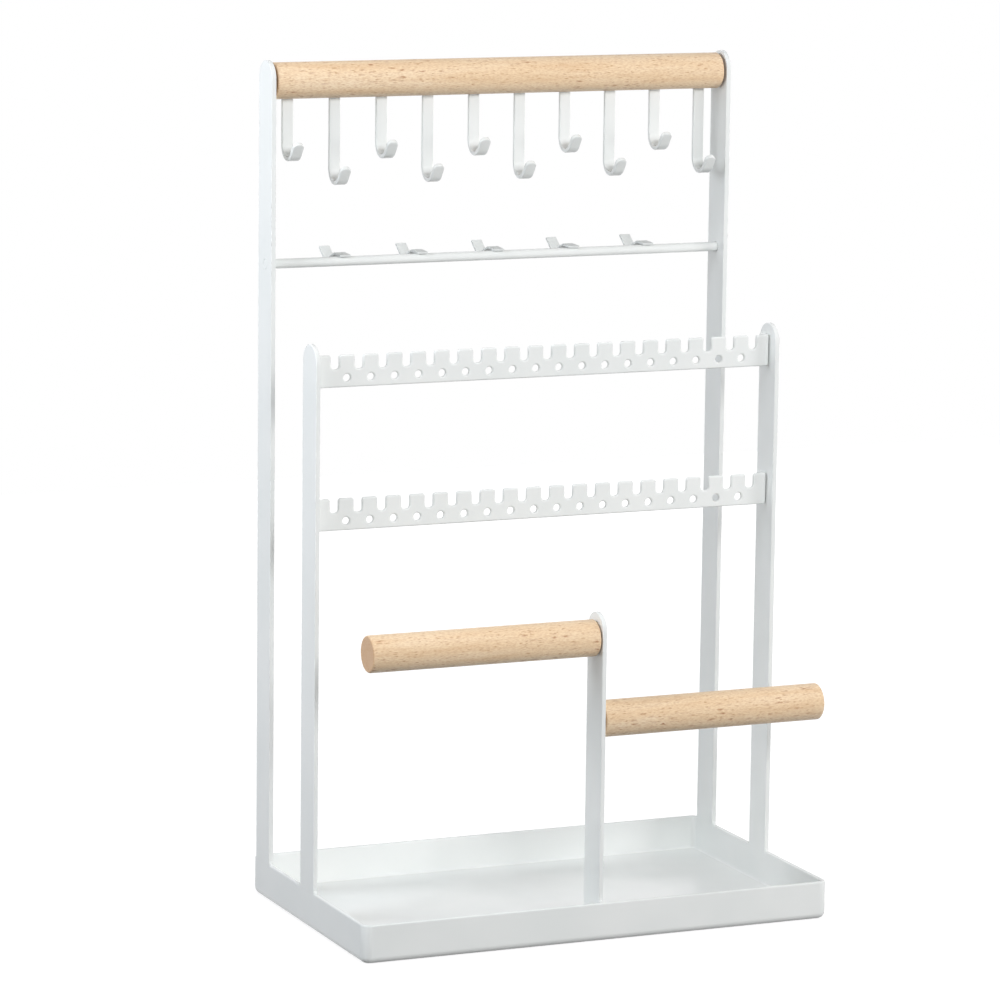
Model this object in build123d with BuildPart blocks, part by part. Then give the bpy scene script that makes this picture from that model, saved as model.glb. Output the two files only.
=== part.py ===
from build123d import *
import os

# A jewellery stand. X runs to the right, Y to the back and Z up, in millimetres.
# The origin is the middle of the tray's underside.

# Tray, folded from sheet and open at the top
tray_width = 220.0
tray_depth = 134.0
tray_height = 17.0
sheet = 2.0
tray_inner_corner = 2.0
tray_inner_bend = 1.0

# Flat bars on edge, as thick as the tray's wall
flat_width = 16.0
rear_upright_top = 373.0
rear_upright_setback = 0.5
front_upright_top = 256.3
front_upright_y = 0.0
post_top = 143.2
post_x = 1.0

# Round wooden bars
bar_diameter = 16.0
bar_chamfer = 0.6
top_bar_drop = 9.0
top_bar_gap = 1.0
bracelet_bar_length = 105.0
bracelet_bar_gap = 0.4
upper_bracelet_bar_drop = 11.2
bracelet_bar_spacing = 35.8

# Studs welded to the flat bars, which carry the wooden bars
stud_diameter = 4.0
stud_foot_diameter = 8.0
stud_pin_length = 12.0

# Hooks, strips bent to a J
hook_count = 10
hook_end_margin = 9.0
hook_width = 5.0
hook_thickness = 1.8
hook_setback = 2.5
hook_short_drop = 26.7
hook_long_drop = 37.7
hook_bend_radius = 7.0
hook_lip_angle = 54.0
hook_lip_length = 6.2
hook_lip_corner = 1.8
hook_tang_wall = 1.5

# Rod and the strip clips on it
rod_diameter = 4.2
rod_drop = 79.8
clip_count = 5
clip_end_margin = 34.8
clip_width = 5.0
clip_thickness = 0.9
clip_tab_length = 7.5
clip_tab_overhang = 2.5
clip_flank_run = 11.3
clip_flank_drop = 4.1
clip_arm_run = 7.0
clip_arm_rise = 5.3
clip_bend_radius = 1.5
clip_corner = 0.8

# Earring rails, notched and pierced, with their ends bent back
rail_thickness = 1.8
rail_height = 14.0
rail_flange = 8.0
rail_inner_bend = 0.6
rail_front = 2.8
upper_rail_drop = 4.9
rail_spacing = 62.2
notch_count = 19
notch_end_margin = 8.7
notch_width = 3.8
notch_depth = 6.2
notch_bottom_radius = 1.5
tooth_radius = 1.0
earring_hole_diameter = 3.2
earring_hole_height = 4.1

# Room round a pin in its hole or a tang in its pocket, and the overrun of cuts
fit_clearance = 0.1
overrun = 1.0

# Places that follow from the sizes above
half_width = tray_width / 2
inner_half = half_width - sheet
tray_corner = tray_inner_corner + sheet
tray_bend = tray_inner_bend + sheet
head_radius = flat_width / 2
rear_upright_y = tray_depth / 2 - tray_corner - rear_upright_setback - head_radius
post_y = -tray_depth / 2 + sheet + head_radius
post_left = post_x - sheet / 2
post_right = post_x + sheet / 2
bar_radius = bar_diameter / 2
stud_radius = stud_diameter / 2
rod_radius = rod_diameter / 2
top_bar_z = rear_upright_top - top_bar_drop
top_bar_underside = top_bar_z - bar_radius
hook_y = rear_upright_y + hook_setback
rod_z = top_bar_z - rod_drop
upper_bracelet_z = post_top - upper_bracelet_bar_drop
lower_bracelet_z = upper_bracelet_z - bracelet_bar_spacing
upper_rail_z = front_upright_top - upper_rail_drop - rail_height
lower_rail_z = upper_rail_z - rail_spacing
hook_tang_depth = bar_radius - stud_radius - hook_tang_wall

# Rows of hooks, clips and notches, spread between the inner faces of the uprights
hook_pitch = 2 * (inner_half - hook_end_margin) / (hook_count - 1)
clip_pitch = 2 * (inner_half - clip_end_margin) / (clip_count - 1)
notch_pitch = 2 * (inner_half - notch_end_margin) / (notch_count - 1)
hook_places = [hook_pitch * i - inner_half + hook_end_margin for i in range(hook_count)]
clip_places = [clip_pitch * i - inner_half + clip_end_margin for i in range(clip_count)]

os.makedirs("parts", exist_ok=True)
pieces = {}


def across(x, y, z, side):
    """A place whose own Z axis points along X, to the right for side 1 and to the left for side -1."""
    return Location((x, y, z), (0, 90 * side, 0))


def flat_bar(x_left, y_centre, z_base, z_top, rod_hole_z=None, foot_relief=0):
    """A flat bar on edge with a round head, bored for the rod at the given height."""
    with BuildPart() as bar:
        with BuildSketch(Plane.YZ.offset(x_left)):
            with Locations((y_centre, z_base)):
                Rectangle(flat_width, z_top - head_radius - z_base, align=(Align.CENTER, Align.MIN))
            with Locations((y_centre, z_top - head_radius)):
                Circle(head_radius)
        extrude(amount=sheet)
        if foot_relief > 0:
            foot = bar.edges().filter_by(Axis.X).group_by(Axis.Z)[0].sort_by(Axis.Y)[0]
            chamfer(foot, foot_relief)
        if rod_hole_z is not None:
            with Locations(across(x_left + sheet, y_centre, rod_hole_z, 1)):
                Hole(rod_radius + fit_clearance)
    return bar


def stud(x_face, side, y, z, gap):
    """A turned stud: a foot that fills the gap beside the flat bar, and a pin in the wood on the given side."""
    with BuildPart() as turned:
        lengthwise = Plane(origin=(x_face, y, z), x_dir=(side, 0, 0), z_dir=(0, -side, 0))
        with BuildSketch(lengthwise):
            with BuildLine():
                Polyline(
                    (0, 0),
                    (0, stud_foot_diameter / 2),
                    (gap, stud_foot_diameter / 2),
                    (gap, stud_radius),
                    (gap + stud_pin_length, stud_radius),
                    (gap + stud_pin_length, 0),
                    close=True,
                )
            make_face()
        revolve(axis=Axis((x_face, y, z), (1, 0, 0)))
    return turned


def wooden_bar(x_left, x_right, y, z, bored_sides, tang_places=()):
    """A round bar with broken edges, bored for studs at its ends and pocketed below for hooks' tangs."""
    with BuildPart() as bar:
        with BuildSketch(Plane.YZ.offset(x_left)):
            with Locations((y, z)):
                Circle(bar_radius)
        extrude(amount=x_right - x_left)
        chamfer(bar.edges().filter_by(GeomType.CIRCLE), bar_chamfer)
        for side in bored_sides:
            x_end = x_right if side > 0 else x_left
            with Locations(across(x_end, y, z, side)):
                Hole(stud_radius + fit_clearance, stud_pin_length + fit_clearance)
        if tang_places:
            with BuildSketch(Plane.XY.offset(z - bar_radius - overrun)):
                with Locations(*[(x, y + hook_setback) for x in tang_places]):
                    Rectangle(hook_width + 2 * fit_clearance, hook_thickness + 2 * fit_clearance)
            extrude(amount=overrun + hook_tang_depth + fit_clearance, mode=Mode.SUBTRACT)
    return bar


def hook(x, drop):
    """A strip bent to a J that opens to the front, its tang standing in the top bar's pocket."""
    with BuildPart() as strip:
        with BuildSketch(Plane.YZ.offset(x - hook_width / 2)):
            with BuildLine():
                back = hook_y + hook_thickness / 2
                bend_start = top_bar_underside - drop + hook_bend_radius
                shank = Line((back, top_bar_underside + hook_tang_depth), (back, bend_start))
                bend = JernArc(shank @ 1, shank % 1, hook_bend_radius, -90 - hook_lip_angle)
                PolarLine(bend @ 1, hook_lip_length, direction=bend % 1)
                offset(amount=hook_thickness, side=Side.RIGHT)
            make_face()
        extrude(amount=hook_width)
        tip = strip.faces().sort_by(Axis.Y)[0]
        fillet(tip.edges().group_by(SortBy.LENGTH)[0], hook_lip_corner)
    return strip


def clip(x):
    """A strip with a flat tab on the rod, a flank that slopes down behind it and an arm that rises again."""
    with BuildPart() as strip:
        with BuildSketch(Plane.YZ.offset(x - clip_width / 2)):
            with BuildLine():
                tab_front = Vector(rear_upright_y - clip_tab_overhang, rod_z + rod_radius + clip_thickness)
                tab_back = tab_front + Vector(clip_tab_length, 0)
                valley = tab_back + Vector(clip_flank_run, -clip_flank_drop)
                arm_end = valley + Vector(clip_arm_run, clip_arm_rise)
                FilletPolyline(tab_front, tab_back, valley, arm_end, radius=clip_bend_radius)
                offset(amount=clip_thickness, side=Side.RIGHT)
            make_face()
        extrude(amount=clip_width)
        for end_face in (strip.faces().sort_by(Axis.Y)[0], strip.faces().sort_by(Axis.Y)[-1]):
            fillet(end_face.edges().group_by(SortBy.LENGTH)[0], clip_corner)
    return strip


def earring_rail(z_base):
    """A sheet rail between the front uprights: notched along the top, pierced below each tooth."""
    with BuildPart() as rail:
        with BuildSketch(Plane.XY.offset(z_base)):
            with BuildLine():
                front = front_upright_y - rail_front
                back = front + rail_flange
                FilletPolyline(
                    (-inner_half, back),
                    (-inner_half, front),
                    (inner_half, front),
                    (inner_half, back),
                    radius=rail_inner_bend + rail_thickness,
                )
                offset(amount=rail_thickness, side=Side.LEFT)
            make_face()
        extrude(amount=rail_height)
        front_plane = Plane.XZ.offset(-front - rail_thickness - overrun)
        cut_depth = rail_thickness + 2 * overrun
        with BuildSketch(front_plane):
            with Locations((0, z_base + rail_height)):
                with GridLocations(notch_pitch, 0, notch_count, 1):
                    RectangleRounded(notch_width, 2 * notch_depth, notch_bottom_radius)
            with Locations((0, z_base + earring_hole_height)):
                with GridLocations(notch_pitch, 0, notch_count - 1, 1):
                    Circle(earring_hole_diameter / 2)
        extrude(amount=cut_depth, mode=Mode.SUBTRACT)
        top_edges = rail.edges().filter_by(Axis.Y).group_by(Axis.Z)[-1]
        fillet(top_edges.group_by(SortBy.LENGTH)[0], tooth_radius)
    return rail


# Tray: a rounded box opened at the top
with BuildPart() as tray:
    with BuildSketch():
        RectangleRounded(tray_width, tray_depth, tray_corner)
    extrude(amount=tray_height)
    fillet(tray.edges().group_by(Axis.Z)[0], tray_bend)
    offset(amount=-sheet, openings=tray.faces().sort_by(Axis.Z)[-1])
pieces["tray"] = tray

# Uprights on the rim: the rear pair is bored for the rod
for end, left_face in (("left", -half_width), ("right", inner_half)):
    pieces[f"rear_upright_{end}"] = flat_bar(left_face, rear_upright_y, tray_height, rear_upright_top, rod_z)
    pieces[f"front_upright_{end}"] = flat_bar(left_face, front_upright_y, tray_height, front_upright_top)

# Post on the tray's floor, against the front wall and relieved there for the inside bend
pieces["centre_post"] = flat_bar(
    post_left, post_y, sheet, post_top, foot_relief=tray_inner_bend + fit_clearance
)

# Top bar, with a pocket in its underside for each hook's tang
top_bar_end = inner_half - top_bar_gap
pieces["top_bar"] = wooden_bar(
    -top_bar_end, top_bar_end, rear_upright_y, top_bar_z, (-1, 1), tang_places=hook_places
)
for end, side in (("left", -1), ("right", 1)):
    pieces[f"top_bar_stud_{end}"] = stud(side * inner_half, -side, rear_upright_y, top_bar_z, top_bar_gap)

# Hooks, short and long in turn from the left
for number, x in enumerate(hook_places, start=1):
    pieces[f"hook_{number}"] = hook(x, hook_short_drop if number % 2 else hook_long_drop)

# Rod, its ends flush with the outer faces of the rear uprights
with BuildPart() as rod:
    with BuildSketch(Plane.YZ.offset(-half_width)):
        with Locations((rear_upright_y, rod_z)):
            Circle(rod_radius)
    extrude(amount=tray_width)
pieces["rod"] = rod
for number, x in enumerate(clip_places, start=1):
    pieces[f"clip_{number}"] = clip(x)

# Earring rails
pieces["upper_rail"] = earring_rail(upper_rail_z)
pieces["lower_rail"] = earring_rail(lower_rail_z)

# Bracelet bars: the upper one to the left of the post, the lower one to the right
upper_end = post_left - bracelet_bar_gap
lower_end = post_right + bracelet_bar_gap
pieces["upper_bracelet_bar"] = wooden_bar(
    upper_end - bracelet_bar_length, upper_end, post_y, upper_bracelet_z, (1,)
)
pieces["lower_bracelet_bar"] = wooden_bar(
    lower_end, lower_end + bracelet_bar_length, post_y, lower_bracelet_z, (-1,)
)
pieces["upper_bracelet_stud"] = stud(post_left, -1, post_y, upper_bracelet_z, bracelet_bar_gap)
pieces["lower_bracelet_stud"] = stud(post_right, 1, post_y, lower_bracelet_z, bracelet_bar_gap)

for name, piece in pieces.items():
    piece.part.label = name
    export_step(piece.part, f"parts/{name}.step")
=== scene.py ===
import math

import bpy
from mathutils import Matrix, Vector


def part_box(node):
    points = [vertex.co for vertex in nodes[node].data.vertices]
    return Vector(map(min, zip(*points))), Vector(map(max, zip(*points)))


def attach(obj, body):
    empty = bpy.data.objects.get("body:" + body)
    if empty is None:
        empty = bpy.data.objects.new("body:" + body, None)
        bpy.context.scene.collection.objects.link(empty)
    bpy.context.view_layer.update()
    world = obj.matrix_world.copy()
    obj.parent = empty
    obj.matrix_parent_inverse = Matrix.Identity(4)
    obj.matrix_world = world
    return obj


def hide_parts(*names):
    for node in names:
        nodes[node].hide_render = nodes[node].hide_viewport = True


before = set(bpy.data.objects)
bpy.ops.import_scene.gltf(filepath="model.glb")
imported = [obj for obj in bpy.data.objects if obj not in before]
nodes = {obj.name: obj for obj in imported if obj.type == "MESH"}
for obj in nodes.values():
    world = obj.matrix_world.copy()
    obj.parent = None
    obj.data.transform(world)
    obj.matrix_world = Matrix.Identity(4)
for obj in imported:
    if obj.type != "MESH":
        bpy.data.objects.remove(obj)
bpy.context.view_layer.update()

MM = 0.001
WHITE = (1.0, 1.0, 1.0, 1.0)
SIDEWAYS = (1.0, 0.0, 0.0)
UP = (0.0, 0.0, 1.0)

# CAD nodes by kind
HOOKS = [f"hook_{number}" for number in range(1, 11)]
CLIPS = [f"clip_{number}" for number in range(1, 6)]
RAILS = ["upper_rail", "lower_rail"]
FLAT_BARS = [
    "rear_upright_left",
    "rear_upright_right",
    "front_upright_left",
    "front_upright_right",
    "centre_post",
]
WOODEN_BARS = ["top_bar", "upper_bracelet_bar", "lower_bracelet_bar"]
STUDS = ["top_bar_stud_left", "top_bar_stud_right", "upper_bracelet_stud", "lower_bracelet_stud"]


def linear(hex_code):
    """Turns an sRGB hex colour into linear RGBA."""
    channels = [int(hex_code[i:i + 2], 16) / 255 for i in (1, 3, 5)]
    return [c / 12.92 if c <= 0.04045 else ((c + 0.055) / 1.055) ** 2.4 for c in channels] + [1.0]


def per_metre(millimetres):
    """Texture scale whose features are about that many millimetres apart."""
    return 1 / (millimetres * MM)


def add_node(tree, kind, inputs=None, **settings):
    """Adds a node, sets its properties, and gives each named or numbered input a value or a link."""
    node = tree.nodes.new(kind)
    for name, value in settings.items():
        setattr(node, name, value)
    for key, value in (inputs or {}).items():
        if isinstance(value, bpy.types.NodeSocket):
            tree.links.new(value, node.inputs[key])
        else:
            node.inputs[key].default_value = value
    return node


# Small steps that the materials and the shapes share


def maths(tree, operation, *values):
    """The result of a math node on numbers or sockets."""
    return add_node(tree, "ShaderNodeMath", dict(enumerate(values)), operation=operation).outputs["Value"]


def vector_maths(tree, operation, *values):
    """The result of a vector math node on vectors, or on a vector and a scale."""
    keys = (0, "Scale") if operation == "SCALE" else range(len(values))
    node = add_node(tree, "ShaderNodeVectorMath", dict(zip(keys, values)), operation=operation)
    return node.outputs["Vector"]


def vector_of(tree, **parts):
    """A vector from any of X, Y and Z, with 0 for the others."""
    return add_node(tree, "ShaderNodeCombineXYZ", parts).outputs["Vector"]


def parts_of(tree, vector):
    """The X, Y and Z of a vector."""
    return add_node(tree, "ShaderNodeSeparateXYZ", {"Vector": vector}).outputs


def remap(tree, value, low, high, new_low=0.0, new_high=1.0):
    """A value's place between low and high, laid between new_low and new_high and held there."""
    return add_node(
        tree,
        "ShaderNodeMapRange",
        {"Value": value, "From Min": low, "From Max": high, "To Min": new_low, "To Max": new_high},
    ).outputs["Result"]


# Materials


def new_material(name):
    """An empty node material with its output node."""
    material = bpy.data.materials.new(name)
    material.use_nodes = True
    material.node_tree.nodes.clear()
    return material, material.node_tree, add_node(material.node_tree, "ShaderNodeOutputMaterial")


def noise(tree, place, millimetres, detail, distortion=0.0):
    """A noise texture whose features are about that many millimetres apart."""
    return add_node(
        tree,
        "ShaderNodeTexNoise",
        {"Vector": place, "Scale": per_metre(millimetres), "Detail": detail, "Distortion": distortion},
    ).outputs


def colour_steps(tree, factor, steps):
    """A colour from a ramp through (position, hex colour) steps."""
    ramp = add_node(tree, "ShaderNodeValToRGB", {"Fac": factor})
    elements = ramp.color_ramp.elements
    while len(elements) < len(steps):
        elements.new(0.5)
    for element, (position, hex_code) in zip(elements, steps):
        element.position = position
        element.color = linear(hex_code)
    return ramp.outputs["Color"]


def mix_colours(tree, share, first, second):
    """The first colour with a share of the second mixed in."""
    # The colour sockets of a mix node go by number, because all its kinds of value have the same names
    return add_node(tree, "ShaderNodeMix", {0: share, 6: first, 7: second}, data_type="RGBA").outputs[2]


def bump(tree, height, strength, depth, **settings):
    """A normal that follows a fine relief of some depth."""
    return add_node(
        tree, "ShaderNodeBump", {"Height": height, "Strength": strength, "Distance": depth}, **settings
    ).outputs["Normal"]


def end_in_shader(tree, output, sockets):
    """Ends a material in a principled shader with these values and links."""
    shader = add_node(tree, "ShaderNodeBsdfPrincipled", sockets)
    tree.links.new(shader.outputs["BSDF"], output.inputs["Surface"])


def powder_coat(name, dark_tone, light_tone, roughness, reflection):
    """White powder coat, sprayed and baked: an even white film with a faint orange peel."""
    material, tree, output = new_material(name)
    place = add_node(tree, "ShaderNodeTexCoord").outputs["Object"]

    # Tone and sheen drift a little over 35 mm, and the peel's bumps are 1.6 mm apart
    cloud = noise(tree, place, 35, 2.0)["Fac"]
    peel = noise(tree, place, 1.6, 0.0)["Fac"]
    drift = 0.01
    end_in_shader(
        tree,
        output,
        {
            "Base Color": colour_steps(tree, cloud, [(0.35, dark_tone), (0.65, light_tone)]),
            "Roughness": remap(tree, cloud, 0.0, 1.0, roughness - drift, roughness + drift),
            "Normal": bump(tree, peel, 0.12, 0.012 * MM),
            "IOR": 1.5,
            "Specular IOR Level": reflection,
        },
    )
    return material


def beech():
    """Turned beech under clear satin lacquer: pale straw, soft bands, fine fibres and short brown ray flecks."""
    material, tree, output = new_material("lacquered_beech")
    place = add_node(tree, "ShaderNodeTexCoord").outputs["Object"]

    def drawn_out(share, tilt=0.0):
        """Places for a pattern that is drawn out along the bar, where lengths count for a share only."""
        return add_node(
            tree,
            "ShaderNodeMapping",
            {"Vector": place, "Rotation": (0.0, tilt, 0.0), "Scale": (share, 1.0, 1.0)},
        ).outputs["Vector"]

    # Growth bands, about 4 mm apart across the bar
    bands = noise(tree, drawn_out(0.06), 4.0, 4.0, 0.6)["Fac"]
    colour = colour_steps(
        tree, bands, [(0.3, "#ECCDA8"), (0.45, "#F3D8B5"), (0.6, "#F7DFBF"), (0.75, "#FAE5C8")]
    )

    # Fibres: fine streaks 0.4 mm apart and about 1.5 mm long
    fibres = noise(tree, drawn_out(0.28), 0.4, 3.0)["Fac"]
    colour = mix_colours(tree, remap(tree, fibres, 0.38, 0.72, 0.0, 0.6), colour, linear("#D4AA7E"))

    # Ray flecks: many faint short dashes all round, and fewer red-brown ones where the bar was cut flat
    wavy = noise(tree, place, 2.0, 1.0)["Color"]
    wave = (0.7 * MM, 0.7 * MM, 0.7 * MM)
    flat_cut = remap(tree, noise(tree, drawn_out(0.2), 9.0, 1.0)["Fac"], 0.4, 0.56)
    fleck_tilt = math.radians(2)
    # Each row: spacing in mm, share along the bar, share of cells left bare, strongest mark, colour, where it shows
    for spacing, stretch, bare, strongest, shade, where in (
        (0.75, 0.25, 0.15, 0.8, "#BB875A", 1.0),
        (1.4, 0.3, 0.45, 1.0, "#A9693E", flat_cut),
    ):
        bent = vector_maths(tree, "MULTIPLY_ADD", wavy, wave, drawn_out(stretch, fleck_tilt))
        cells = add_node(tree, "ShaderNodeTexVoronoi", {"Vector": bent, "Scale": per_metre(spacing)}).outputs
        core = remap(tree, cells["Distance"], 0.1, 0.42, 1.0, 0.0)
        lot = add_node(tree, "ShaderNodeSeparateColor", {"Color": cells["Color"]}).outputs["Red"]
        mark = maths(tree, "MULTIPLY", remap(tree, lot, bare, 1.0, 0.0, strongest), where)
        fleck = maths(tree, "MULTIPLY", core, mark)
        colour = mix_colours(tree, fleck, colour, linear(shade))

    # Sawn ends drink more lacquer and look darker
    facing = add_node(tree, "ShaderNodeNewGeometry").outputs["True Normal"]
    endwise = maths(tree, "ABSOLUTE", parts_of(tree, facing)["X"])
    colour = mix_colours(tree, remap(tree, endwise, 0.6, 0.9, 0.0, 0.7), colour, linear("#C6976B"))

    # The red-brown flecks lie a trace below the lacquered surface
    end_in_shader(
        tree,
        output,
        {
            "Base Color": colour,
            "Roughness": 0.5,
            "Normal": bump(tree, fleck, 0.25, 0.03 * MM, invert=True),
            "IOR": 1.5,
            "Specular IOR Level": 0.3,
            "Coat Weight": 0.3,
            "Coat Roughness": 0.27,
        },
    )
    return material


def zinc_plate():
    """Turned steel with bright zinc plate: cool grey metal with a fine mottle in its polish."""
    material, tree, output = new_material("zinc_plated_steel")
    place = add_node(tree, "ShaderNodeTexCoord").outputs["Object"]
    mottle = noise(tree, place, 0.4, 1.0)["Fac"]
    polish = remap(tree, mottle, 0.0, 1.0, 0.25, 0.45)
    end_in_shader(tree, output, {"Base Color": linear("#C4C7C9"), "Metallic": 1.0, "Roughness": polish})
    return material


coat = powder_coat("satin_powder_coat", "#ECEFEE", "#F1F3F2", 0.2, 0.5)
# The spring-steel clips get a greyer copy of the white coat: the grey is painted shade, and the finish is more matt
painted_shade_coat = powder_coat("painted_shade_powder_coat", "#DDE0DF", "#E3E6E5", 0.5, 0.2)
wood = beech()
zinc = zinc_plate()


# CAD nodes that keep their mesh


def dress(name, material, edge_radius):
    """Gives a CAD node its finish and softens its edges."""
    piece = nodes[name]
    piece.data.materials.clear()
    piece.data.materials.append(material)
    weld = piece.modifiers.new("merge_corners", "WELD")
    weld.merge_threshold = 0.002 * MM
    plain = piece.modifiers.new("plain_faces", "DECIMATE")
    plain.decimate_type = "DISSOLVE"
    plain.angle_limit = math.radians(1.0)
    soften = piece.modifiers.new("soft_edges", "BEVEL")
    soften.width = edge_radius
    soften.segments = 3
    soften.limit_method = "ANGLE"
    soften.angle_limit = math.radians(40)
    soften.harden_normals = True


dress("tray", coat, 0.7 * MM)
for name in FLAT_BARS:
    dress(name, coat, 0.35 * MM)
dress("rod", coat, 0.2 * MM)
for name in WOODEN_BARS:
    dress(name, wood, 0.25 * MM)
for name in STUDS:
    dress(name, zinc, 0.1 * MM)


# Shapes built with Geometry Nodes


def shape_tree(name, sizes, results):
    """A Geometry Nodes tree with named sizes, given as name: socket kind, and its results."""
    tree = bpy.data.node_groups.new(name, "GeometryNodeTree")
    for label, kind in sizes.items():
        tree.interface.new_socket(label, in_out="INPUT", socket_type="NodeSocket" + kind)
    for label, kind in results.items():
        tree.interface.new_socket(label, in_out="OUTPUT", socket_type="NodeSocket" + kind)
    return tree, add_node(tree, "NodeGroupInput").outputs, add_node(tree, "NodeGroupOutput")


def position(tree):
    """Where each point is."""
    return add_node(tree, "GeometryNodeInputPosition").outputs["Position"]


def placed(tree, geometry, **where):
    """Geometry with its points at a Position, or moved by an Offset."""
    return add_node(tree, "GeometryNodeSetPosition", {"Geometry": geometry, **where}).outputs["Geometry"]


def curve_along(tree, mesh):
    """The curve along a mesh's edges."""
    return add_node(tree, "GeometryNodeMeshToCurve", {"Mesh": mesh}).outputs["Curve"]


def rounded(tree, curve, radius, steps):
    """A curve with its corners rounded in a number of steps."""
    return add_node(
        tree, "GeometryNodeFilletCurve", {"Curve": curve, "Count": steps, "Radius": radius}, mode="POLY"
    ).outputs["Curve"]


def length_of(tree, curve):
    """How long a curve is."""
    return add_node(tree, "GeometryNodeCurveLength", {"Curve": curve}).outputs["Length"]


def with_normal(tree, curve, normal):
    """A curve whose sections all stand to one direction."""
    return add_node(
        tree, "GeometryNodeSetCurveNormal", {"Curve": curve, "Normal": normal}, mode="FREE"
    ).outputs["Curve"]


def row(tree, count, first, step):
    """Points in a row along X."""
    return add_node(
        tree,
        "GeometryNodeMeshLine",
        {"Count": count, "Start Location": vector_of(tree, X=first), "Offset": vector_of(tree, X=step)},
        mode="OFFSET",
    ).outputs["Mesh"]


def realized(tree, geometry):
    """Instances turned into real geometry."""
    return add_node(tree, "GeometryNodeRealizeInstances", {"Geometry": geometry}).outputs["Geometry"]


def copies(tree, points, instance, **more):
    """A real copy of one shape at each point."""
    spread = add_node(tree, "GeometryNodeInstanceOnPoints", {"Points": points, "Instance": instance, **more})
    return realized(tree, spread.outputs["Instances"])


def joined(tree, *parts):
    """Several geometries as one."""
    join = add_node(tree, "GeometryNodeJoinGeometry")
    for part in parts:
        tree.links.new(part, join.inputs["Geometry"])
    return join.outputs["Geometry"]


def merged(tree, geometry, distance):
    """Geometry whose points are one where they are closer than a distance."""
    return add_node(
        tree, "GeometryNodeMergeByDistance", {"Geometry": geometry, "Distance": distance}
    ).outputs["Geometry"]


def smooth(tree, geometry, where=True):
    """Geometry with smooth shading, all over or on some faces."""
    return add_node(
        tree, "GeometryNodeSetShadeSmooth", {"Geometry": geometry, "Shade Smooth": where}
    ).outputs["Geometry"]


def finished(tree, geometry, finish):
    """Real geometry with its material."""
    return add_node(
        tree, "GeometryNodeSetMaterial", {"Geometry": realized(tree, geometry), "Material": finish}
    ).outputs["Geometry"]


def corner_cut_tree():
    """How far a rounded corner draws in a strip's edge, at some distance from the strip's end."""
    tree, given, result = shape_tree("corner_cut", {"Distance": "Float", "Radius": "Float"}, {"Cut": "Float"})
    radius = given["Radius"]
    near = maths(tree, "MINIMUM", given["Distance"], radius)
    rest = maths(tree, "SUBTRACT", maths(tree, "MULTIPLY", radius, 2.0), near)
    reach = maths(tree, "SQRT", maths(tree, "MULTIPLY", near, rest))
    tree.links.new(maths(tree, "SUBTRACT", radius, reach), result.inputs["Cut"])
    return tree


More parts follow.
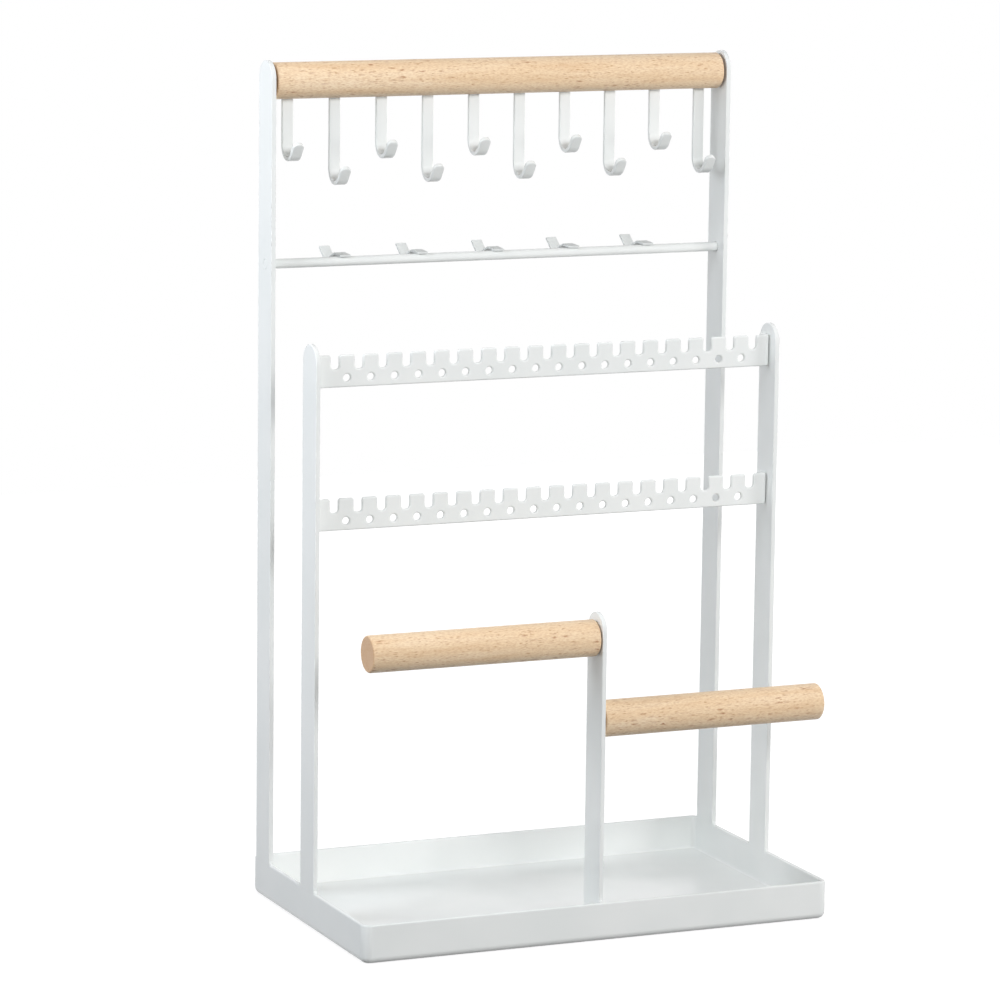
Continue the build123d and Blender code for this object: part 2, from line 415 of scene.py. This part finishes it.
def bent_strip_tree():
    """A flat strip bent along a path in the YZ plane, which is the outside of the strip's first bend."""
    tree, given, result = shape_tree(
        "bent_strip",
        {
            "Path": "Geometry",
            "Width": "Float",
            "Thickness": "Float",
            "Edge Radius": "Float",
            "Bend Radius": "Float",
            "Start Corner": "Float",
            "End Corner": "Float",
            "Finish": "Material",
        },
        {"Piece": "Geometry"},
    )
    cut_tree = corner_cut_tree()
    half_width = maths(tree, "MULTIPLY", given["Width"], 0.5)
    half_thickness = maths(tree, "MULTIPLY", given["Thickness"], 0.5)

    # The spine runs in the middle of the thickness, its steps closer together towards both ends
    path = rounded(tree, curve_along(tree, given["Path"]), given["Bend Radius"], 24)
    length = length_of(tree, path)
    even = add_node(tree, "GeometryNodeResampleCurve", {"Curve": path, "Count": 100})
    share = add_node(
        tree,
        "ShaderNodeMapRange",
        {"Value": add_node(tree, "GeometryNodeSplineParameter").outputs["Factor"]},
        interpolation_type="SMOOTHSTEP",
    ).outputs["Result"]
    spot = add_node(tree, "GeometryNodeSampleCurve", {"Curves": path, "Factor": share}, mode="FACTOR").outputs
    inward = vector_maths(tree, "CROSS_PRODUCT", spot["Tangent"], SIDEWAYS)
    middle = vector_maths(tree, "ADD", spot["Position"], vector_maths(tree, "SCALE", inward, half_thickness))
    kept = add_node(tree, "GeometryNodeCaptureAttribute", {"Geometry": even.outputs["Curve"]}, domain="POINT")
    kept.capture_items.new("VECTOR", "Middle")
    kept.capture_items.new("FLOAT", "Share")
    tree.links.new(middle, kept.inputs["Middle"])
    tree.links.new(share, kept.inputs["Share"])
    spine = placed(tree, kept.outputs["Geometry"], Position=kept.outputs["Middle"])

    # The strip's section has soft edges
    section = add_node(
        tree,
        "GeometryNodeCurvePrimitiveQuadrilateral",
        {"Width": given["Width"], "Height": given["Thickness"]},
    ).outputs["Curve"]
    strip = add_node(
        tree,
        "GeometryNodeCurveToMesh",
        {
            "Curve": with_normal(tree, spine, SIDEWAYS),
            "Profile Curve": rounded(tree, section, given["Edge Radius"], 4),
            "Fill Caps": True,
        },
    ).outputs["Mesh"]

    # Both ends are drawn in to their corner radius across the width, and to the edge radius across the thickness
    from_start = maths(tree, "MULTIPLY", kept.outputs["Share"], length)
    from_end = maths(tree, "SUBTRACT", length, from_start)

    def drawn_in(start_radius, end_radius, half_size):
        """The share of a half size that is left between the rounded ends."""
        cuts = [
            add_node(
                tree, "GeometryNodeGroup", {"Distance": distance, "Radius": radius}, node_tree=cut_tree
            ).outputs["Cut"]
            for distance, radius in ((from_start, start_radius), (from_end, end_radius))
        ]
        lost = maths(tree, "DIVIDE", maths(tree, "ADD", *cuts), half_size)
        return maths(tree, "SUBTRACT", 1.0, lost)

    across = drawn_in(given["Start Corner"], given["End Corner"], half_width)
    through = drawn_in(given["Edge Radius"], given["Edge Radius"], half_thickness)
    shares = vector_of(tree, X=across, Y=through, Z=through)
    arm = vector_maths(tree, "SUBTRACT", position(tree), kept.outputs["Middle"])
    shrunk = vector_maths(tree, "MULTIPLY_ADD", arm, shares, kept.outputs["Middle"])
    piece = smooth(tree, placed(tree, strip, Position=shrunk))
    tree.links.new(finished(tree, piece, given["Finish"]), result.inputs["Piece"])
    return tree


def pierced_rail_tree():
    """A sheet rail along a path, notched along its top and pierced below each tooth, with soft edges."""
    tree, given, result = shape_tree(
        "pierced_rail",
        {
            "Path": "Geometry",
            "Height": "Float",
            "Thickness": "Float",
            "Edge Radius": "Float",
            "Bend Radius": "Float",
            "Flange": "Float",
            "Notch Count": "Int",
            "Notch Pitch": "Float",
            "Notch Width": "Float",
            "Notch Depth": "Float",
            "Notch Radius": "Float",
            "Tooth Radius": "Float",
            "Hole Radius": "Float",
            "Hole Height": "Float",
            "Finish": "Material",
        },
        {"Piece": "Geometry"},
    )

    def calc(operation, *values):
        """The result of a math node in this tree."""
        return maths(tree, operation, *values)

    def minus(value):
        """A value with its sign turned."""
        return calc("SUBTRACT", 0.0, value)

    def outline(radius, *corners):
        """A curve through corners given as (along, up), which are rounded."""
        line = add_node(tree, "GeometryNodeMeshLine", {"Count": len(corners)}).outputs["Mesh"]
        pick = add_node(
            tree,
            "GeometryNodeIndexSwitch",
            {"Index": add_node(tree, "GeometryNodeInputIndex").outputs["Index"]},
            data_type="VECTOR",
        )
        while len(pick.index_switch_items) < len(corners):
            pick.index_switch_items.new()
        # Input 0 is the index, and the corners come after it
        for number, (along, up) in enumerate(corners, start=1):
            tree.links.new(vector_of(tree, X=along, Y=up), pick.inputs[number])
        drawn = placed(tree, line, Position=pick.outputs["Output"])
        return rounded(tree, curve_along(tree, drawn), radius, 8)

    # The rail's path, bent at both ends
    path = rounded(tree, curve_along(tree, given["Path"]), given["Bend Radius"], 16)
    half_length = calc("MULTIPLY", length_of(tree, path), 0.5)

    # One tooth with half a notch at each side, and the rest of the sheet's outline
    height = given["Height"]
    half_notch = calc("MULTIPLY", given["Notch Width"], 0.5)
    half_pitch = calc("MULTIPLY", given["Notch Pitch"], 0.5)
    half_tooth = calc("SUBTRACT", half_pitch, half_notch)
    notch_floor = calc("SUBTRACT", height, given["Notch Depth"])
    tooth_count = calc("SUBTRACT", given["Notch Count"], 1.0)
    last_notch = calc("MULTIPLY", tooth_count, half_pitch)
    last_wall = calc("ADD", last_notch, half_notch)
    over_floor = calc("GREATER_THAN", parts_of(tree, position(tree))["Y"], calc("ADD", notch_floor, 1 * MM))
    corner_radius = add_node(
        tree,
        "ShaderNodeMix",
        {0: over_floor, 2: given["Notch Radius"], 3: given["Tooth Radius"]},
        data_type="FLOAT",
    ).outputs[0]
    tooth = outline(
        corner_radius,
        (minus(half_pitch), notch_floor),
        (minus(half_tooth), notch_floor),
        (minus(half_tooth), height),
        (half_tooth, height),
        (half_tooth, notch_floor),
        (half_pitch, notch_floor),
    )
    surround = outline(
        corner_radius,
        (minus(last_notch), notch_floor),
        (minus(last_wall), notch_floor),
        (minus(last_wall), height),
        (minus(half_length), height),
        (minus(half_length), 0.0),
        (half_length, 0.0),
        (half_length, height),
        (last_wall, height),
        (last_wall, notch_floor),
        (last_notch, notch_floor),
    )
    first_tooth = calc("SUBTRACT", half_pitch, last_notch)
    tooth_places = row(tree, tooth_count, first_tooth, given["Notch Pitch"])
    edges = joined(tree, surround, copies(tree, tooth_places, tooth))
    wires = add_node(tree, "GeometryNodeCurveToMesh", {"Curve": edges}).outputs["Mesh"]
    rim_line = add_node(
        tree,
        "GeometryNodeResampleCurve",
        {"Curve": curve_along(tree, merged(tree, wires, 0.01 * MM)), "Length": 0.25 * MM},
        mode="LENGTH",
    ).outputs["Curve"]

    # Round holes, one below each tooth
    hole_places = placed(tree, tooth_places, Offset=vector_of(tree, Y=given["Hole Height"]))
    ring = add_node(
        tree, "GeometryNodeCurvePrimitiveCircle", {"Resolution": 40, "Radius": given["Hole Radius"]}
    ).outputs["Curve"]
    cut_lines = joined(tree, rim_line, copies(tree, hole_places, ring))

    # Cut edges with a soft section, swept along every outline
    thickness = given["Thickness"]
    softness = given["Edge Radius"]
    turned = with_normal(tree, cut_lines, UP)
    section = outline(softness, (thickness, softness), (thickness, 0.0), (0.0, 0.0), (0.0, softness))
    swept = add_node(tree, "GeometryNodeCurveToMesh", {"Curve": turned, "Profile Curve": section})
    cut_edges = smooth(tree, swept.outputs["Mesh"])

    # Flat faces inside the soft edges, with lines across the sheet where it bends, so that they can follow the bend
    tangent = add_node(tree, "GeometryNodeInputTangent").outputs["Tangent"]
    inward = vector_maths(tree, "CROSS_PRODUCT", tangent, UP)
    face_rims = placed(tree, turned, Offset=vector_maths(tree, "SCALE", inward, softness))
    line_count = 13
    bend_end = calc("SUBTRACT", half_length, calc("SUBTRACT", given["Flange"], given["Bend Radius"]))
    bend_step = calc("MULTIPLY", given["Bend Radius"], math.pi / 2 / (line_count - 1))
    bend_start = calc("SUBTRACT", bend_end, calc("MULTIPLY", bend_step, line_count - 1.0))
    line_low = calc("MULTIPLY", softness, 1.5)
    line_high = calc("SUBTRACT", height, line_low)
    bare_line = add_node(
        tree,
        "GeometryNodeCurvePrimitiveLine",
        {"Start": vector_of(tree, Y=line_low), "End": vector_of(tree, Y=line_high)},
    ).outputs["Curve"]
    bend_line = add_node(
        tree, "GeometryNodeResampleCurve", {"Curve": bare_line, "Count": 12}, mode="COUNT"
    ).outputs["Curve"]
    face_lines = joined(
        tree,
        face_rims,
        copies(tree, row(tree, line_count, bend_end, minus(bend_step)), bend_line),
        copies(tree, row(tree, line_count, minus(bend_end), bend_step), bend_line),
    )
    face = add_node(tree, "GeometryNodeFillCurve", {"Curve": face_lines}, mode="TRIANGLES").outputs["Mesh"]
    from_middle = calc("ABSOLUTE", parts_of(tree, position(tree))["X"])
    flat = smooth(tree, face, calc("GREATER_THAN", from_middle, bend_start))
    flipped = add_node(tree, "GeometryNodeFlipFaces", {"Mesh": flat}).outputs["Mesh"]
    other_face = placed(tree, flipped, Offset=vector_of(tree, Z=thickness))
    closed = merged(tree, joined(tree, flat, other_face, cut_edges), 0.005 * MM)

    # The flat sheet is laid along the path, its thickness to the inside of the bends
    spot = parts_of(tree, position(tree))
    along = add_node(
        tree,
        "GeometryNodeSampleCurve",
        {"Curves": path, "Length": calc("ADD", half_length, spot["X"])},
        mode="LENGTH",
    ).outputs
    inside = vector_maths(tree, "CROSS_PRODUCT", UP, along["Tangent"])
    foot = vector_maths(tree, "ADD", along["Position"], vector_maths(tree, "SCALE", inside, spot["Z"]))
    raised = vector_maths(tree, "ADD", foot, vector_of(tree, Z=spot["Y"]))
    laid = placed(tree, closed, Position=raised)
    tree.links.new(finished(tree, laid, given["Finish"]), result.inputs["Piece"])
    return tree


def weld_bead_tree():
    """Small rippled beads of weld metal, one at each point of a path."""
    tree, given, result = shape_tree(
        "weld_bead",
        {
            "Path": "Geometry",
            "Width": "Float",
            "Length": "Float",
            "Height": "Float",
            "Ripple": "Float",
            "Ripple Seed": "Float",
            "Finish": "Material",
        },
        {"Piece": "Geometry"},
    )
    drop = add_node(tree, "GeometryNodeMeshIcoSphere", {"Radius": 0.5, "Subdivisions": 4}).outputs["Mesh"]
    size = vector_of(tree, X=given["Width"], Y=given["Length"], Z=given["Height"])
    drops = copies(tree, given["Path"], drop, Scale=size)
    ripple = add_node(
        tree,
        "ShaderNodeTexNoise",
        {"W": given["Ripple Seed"], "Scale": per_metre(0.9), "Detail": 1.0},
        noise_dimensions="4D",
    ).outputs["Fac"]
    swell = maths(tree, "MULTIPLY", remap(tree, ripple, 0.0, 1.0, -1.0, 1.0), given["Ripple"])
    normal = add_node(tree, "GeometryNodeInputNormal").outputs["Normal"]
    rippled = placed(tree, drops, Offset=vector_maths(tree, "SCALE", normal, swell))
    tree.links.new(finished(tree, smooth(tree, rippled), given["Finish"]), result.inputs["Piece"])
    return tree


def shape_piece(name, path_points, tree, sizes, node=None):
    """Runs a shape tree along a path and keeps the result as a plain mesh, in a CAD node's place if one is named."""
    path = bpy.data.meshes.new(name + "_path")
    path.from_pydata(path_points, [(i, i + 1) for i in range(len(path_points) - 1)], [])
    carrier = bpy.data.objects.new(name + "_path", path)
    bpy.context.scene.collection.objects.link(carrier)
    shape = carrier.modifiers.new("shape", "NODES")
    shape.node_group = tree
    for item in tree.interface.items_tree:
        if item.in_out == "INPUT" and item.name in sizes:
            shape[item.identifier] = sizes[item.name]
    mesh = bpy.data.meshes.new_from_object(carrier.evaluated_get(bpy.context.evaluated_depsgraph_get()))
    bpy.data.objects.remove(carrier)
    mesh.name = name
    piece = bpy.data.objects.new(name, mesh)
    bpy.context.scene.collection.objects.link(piece)
    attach(piece, "root")
    if node:
        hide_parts(node)


# Hooks: strips bent to a J, from the tang in the top bar to the rounded lip
bent_strip = bent_strip_tree()
hook_bend = 7.0 * MM
hook_lip = 6.2 * MM
hook_lip_slope = math.radians(54)
lip_way = Vector((0, -math.cos(hook_lip_slope), math.sin(hook_lip_slope)))
corner_run = hook_bend * math.tan((math.pi / 2 + hook_lip_slope) / 2)
for node in HOOKS:
    low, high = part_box(node)
    middle_x = (low.x + high.x) / 2
    corner = Vector((middle_x, high.y, low.z + hook_bend - corner_run))
    shape_piece(
        "bent_" + node,
        [(middle_x, high.y, high.z), corner, corner + lip_way * (corner_run + hook_lip)],
        bent_strip,
        {
            "Width": high.x - low.x,
            "Thickness": 1.8 * MM,
            "Edge Radius": 0.4 * MM,
            "Bend Radius": hook_bend,
            "Start Corner": 0.2 * MM,
            "End Corner": 2.4 * MM,
            "Finish": coat,
        },
        node,
    )

# Clips: a tab on the rod, a flank that slopes down behind it and an arm that rises again
clip_thickness = 0.9 * MM
# Turns of the strip's upper face, in mm behind the rod's middle and above where the tab lies flat
clip_turns = [(-2.5, 0.0), (5.0, 0.4), (16.3, -4.1), (23.3, 1.2)]
rod_low, rod_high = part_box("rod")
rod_y = (rod_low.y + rod_high.y) / 2
for node in CLIPS:
    low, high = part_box(node)
    middle_x = (low.x + high.x) / 2
    shape_piece(
        "bent_" + node,
        [(middle_x, rod_y + y * MM, rod_high.z + clip_thickness + z * MM) for y, z in clip_turns],
        bent_strip,
        {
            "Width": high.x - low.x,
            "Thickness": clip_thickness,
            "Edge Radius": 0.1 * MM,
            "Bend Radius": 1.5 * MM,
            "Start Corner": 0.2 * MM,
            "End Corner": 0.2 * MM,
            # The clips' greyer coat is painted shade
            "Finish": painted_shade_coat,
        },
        node,
    )

# Earring rails: sheet between the front uprights, its ends bent back
pierced_rail = pierced_rail_tree()
notch_count = 19
end_to_notch = 8.7 * MM
for node in RAILS:
    low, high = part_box(node)
    shape_piece(
        "pierced_" + node,
        [(low.x, high.y, low.z), (low.x, low.y, low.z), (high.x, low.y, low.z), (high.x, high.y, low.z)],
        pierced_rail,
        {
            "Height": high.z - low.z,
            "Thickness": 1.8 * MM,
            "Edge Radius": 0.75 * MM,
            "Bend Radius": 2.4 * MM,
            "Flange": high.y - low.y,
            "Notch Count": notch_count,
            "Notch Pitch": (high.x - low.x - 2 * end_to_notch) / (notch_count - 1),
            "Notch Width": 3.8 * MM,
            "Notch Depth": 6.2 * MM,
            "Notch Radius": 1.5 * MM,
            "Tooth Radius": 1.0 * MM,
            "Hole Radius": 1.6 * MM,
            "Hole Height": 4.1 * MM,
            "Finish": coat,
        },
        node,
    )

# Welds at the feet: a seam ground flush with the uprights' faces, and a small bead at each end of it
weld_bead = weld_bead_tree()
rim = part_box("front_upright_left")[0].z
seam_height = 2 * MM
seam_inset = 0.01 * MM
bead_rise = 0.2 * MM
for number, node in enumerate(FLAT_BARS):
    low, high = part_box(node)
    middle_x = (low.x + high.x) / 2
    ends = [low.y, high.y]
    if node == "centre_post":
        # The post stands inside the tray, with one bead where it meets the front wall's rim
        ends = [low.y]
    else:
        seam_top = rim + seam_height / 2
        shape_piece(
            "foot_seam_" + node,
            [(middle_x, low.y + seam_inset, seam_top), (middle_x, high.y - seam_inset, seam_top)],
            bent_strip,
            {
                "Width": high.x - low.x - 2 * seam_inset,
                "Thickness": seam_height,
                "Edge Radius": 0.1 * MM,
                "Bend Radius": 0.0,
                "Start Corner": 0.1 * MM,
                "End Corner": 0.1 * MM,
                "Finish": coat,
            },
        )
    shape_piece(
        "foot_beads_" + node,
        [(middle_x, y, rim + bead_rise) for y in ends],
        weld_bead,
        {
            "Width": 1.7 * MM,
            "Length": 1.9 * MM,
            "Height": 1.7 * MM,
            "Ripple": 0.1 * MM,
            "Ripple Seed": float(number),
            "Finish": coat,
        },
    )

# Floor: white to the camera, with the stand's soft shadow on it, and a hair below the tray
floor_reach = 1.1
floor_gap = 0.1 * MM
floor_mesh = bpy.data.meshes.new("studio_floor")
floor_mesh.from_pydata(
    [
        (-floor_reach, -floor_reach, 0),
        (floor_reach, -floor_reach, 0),
        (floor_reach, floor_reach, 0),
        (-floor_reach, floor_reach, 0),
    ],
    [],
    [(0, 1, 2, 3)],
)
floor = bpy.data.objects.new("studio_floor", floor_mesh)
bpy.context.scene.collection.objects.link(floor)
floor.location.z = -floor_gap


def seen_directly(tree):
    """1 for rays from the camera, mirrors and glass, 0 for light that falls on the object."""
    path = add_node(tree, "ShaderNodeLightPath").outputs
    shiny = maths(tree, "MAXIMUM", path["Is Glossy Ray"], path["Is Transmission Ray"])
    return maths(tree, "MAXIMUM", path["Is Camera Ray"], shiny)


# White paper: it looks white through a glow of its own that rises outwards, and throws little light on the stand
paper, tree, output = new_material("white_paper_floor")
matt = add_node(tree, "ShaderNodeBsdfDiffuse", {"Color": linear("#949494")})
dim = add_node(tree, "ShaderNodeBsdfDiffuse", {"Color": linear("#6A6A6A")})
from_stand = add_node(
    tree,
    "ShaderNodeVectorMath",
    {0: add_node(tree, "ShaderNodeTexCoord").outputs["Object"]},
    operation="LENGTH",
).outputs["Value"]
lift = remap(tree, from_stand, 0.15, 0.6, 0.83, 0.92)
glow = add_node(tree, "ShaderNodeEmission", {"Color": WHITE, "Strength": lift})
both = add_node(tree, "ShaderNodeAddShader", {0: matt.outputs["BSDF"], 1: glow.outputs["Emission"]})
shown = add_node(
    tree, "ShaderNodeMixShader", {0: seen_directly(tree), 1: dim.outputs["BSDF"], 2: both.outputs["Shader"]}
)
tree.links.new(shown.outputs["Shader"], output.inputs["Surface"])
floor_mesh.materials.append(paper)

# Room: white walls under a dim ceiling, and plain white where it is seen or mirrored
horizon_light = 0.44
ceiling_light = 0.1
world = bpy.data.worlds.new("white_studio")
world.use_nodes = True
bpy.context.scene.world = world
tree = world.node_tree
tree.nodes.clear()
heading = add_node(tree, "ShaderNodeTexCoord").outputs["Generated"]
walls = remap(tree, parts_of(tree, heading)["Z"], 0.0, 1.0, horizon_light, ceiling_light)
fill = add_node(tree, "ShaderNodeBackground", {"Color": WHITE, "Strength": walls})
white = add_node(tree, "ShaderNodeBackground", {"Color": WHITE, "Strength": 1.0})
sky = add_node(
    tree,
    "ShaderNodeMixShader",
    {0: seen_directly(tree), 1: fill.outputs["Background"], 2: white.outputs["Background"]},
)
add_node(tree, "ShaderNodeOutputWorld", {"Surface": sky.outputs["Shader"]})


def lamp(name, place, target, size, power, colour="#FFFFFF"):
    """A soft box that points at a target and stays out of the coat's reflections, which show the white room."""
    data = bpy.data.lights.new(name, "AREA")
    data.shape = "RECTANGLE"
    data.size, data.size_y = size
    data.energy = power
    data.color = linear(colour)[:3]
    box = bpy.data.objects.new(name, data)
    box.location = place
    box.rotation_euler = (Vector(target) - Vector(place)).to_track_quat("-Z", "Y").to_euler()
    box.visible_glossy = False
    bpy.context.scene.collection.objects.link(box)


# Lamps: a strip overhead, two soft boxes in front, a cool one on the left and one behind; metres and watts
lamp("overhead_strip", (0.0, 0.055, 1.5), (0, 0.055, 0.2), (0.9, 0.12), 1.8)
lamp("front_box", (0.0, -1.7, 0.98), (0, 0, 0.2), (0.7, 0.5), 17.8)
lamp("right_front_box", (1.0, -0.6, 0.38), (0, 0, 0.12), (0.4, 0.25), 4)
lamp("left_box", (-0.62, 0.0, 0.5), (0, 0, 0.28), (0.4, 0.4), 2.9, "#F4F9FF")
lamp("right_back_box", (0.9, 0.9, 0.42), (0, 0, 0.2), (0.5, 0.5), 4)

# Camera at the photo's viewing angle
azimuth, elevation, roll = (math.radians(a) for a in (-23.46, 9.80, 0.71))
target = Vector((-20.63, 0.0, 183.78)) * MM
distance = 2121.03 * MM
sensor_width = 36.0
lens_to_sensor = 4.86305
back = Vector(
    (
        math.cos(elevation) * math.sin(azimuth),
        -math.cos(elevation) * math.cos(azimuth),
        math.sin(elevation),
    )
)
level = Vector((math.cos(azimuth), math.sin(azimuth), 0))
upward = back.cross(level)
right = math.cos(roll) * level + math.sin(roll) * upward
top = math.cos(roll) * upward - math.sin(roll) * level
camera = bpy.data.objects.new("camera", bpy.data.cameras.new("camera"))
camera.data.sensor_width = sensor_width
camera.data.lens = sensor_width * lens_to_sensor
turn = Matrix((right, top, back)).transposed().to_4x4()
camera.matrix_world = Matrix.Translation(target + back * distance) @ turn
bpy.context.scene.collection.objects.link(camera)
bpy.context.scene.camera = camera
bpy.context.scene.view_settings.view_transform = "Standard"
